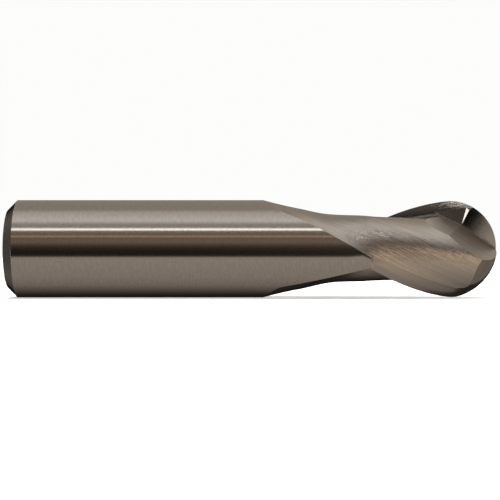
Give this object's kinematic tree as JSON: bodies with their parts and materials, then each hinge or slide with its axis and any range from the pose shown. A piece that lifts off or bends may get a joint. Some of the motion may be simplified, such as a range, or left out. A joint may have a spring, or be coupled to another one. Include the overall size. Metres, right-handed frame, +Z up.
{
  "type": "ball-nose end mill",
  "caption": "Solid carbide ball-nose end mill with two helical flutes, stub length, on a plain cylindrical shank with a chamfered end.",
  "frame": {"origin": "centre of the flat rear face of the shank, on the tool axis", "axes": "+X along the tool axis toward the ball tip, +Z up with the tool lying on its side, Y across"},
  "size_m": [0.0635, 0.0126, 0.0126],
  "materials": {
    "ground_carbide": "ground"
  },
  "bodies": {
    "root": {"end_mill": "ground_carbide"}
  },
  "joints": []
}
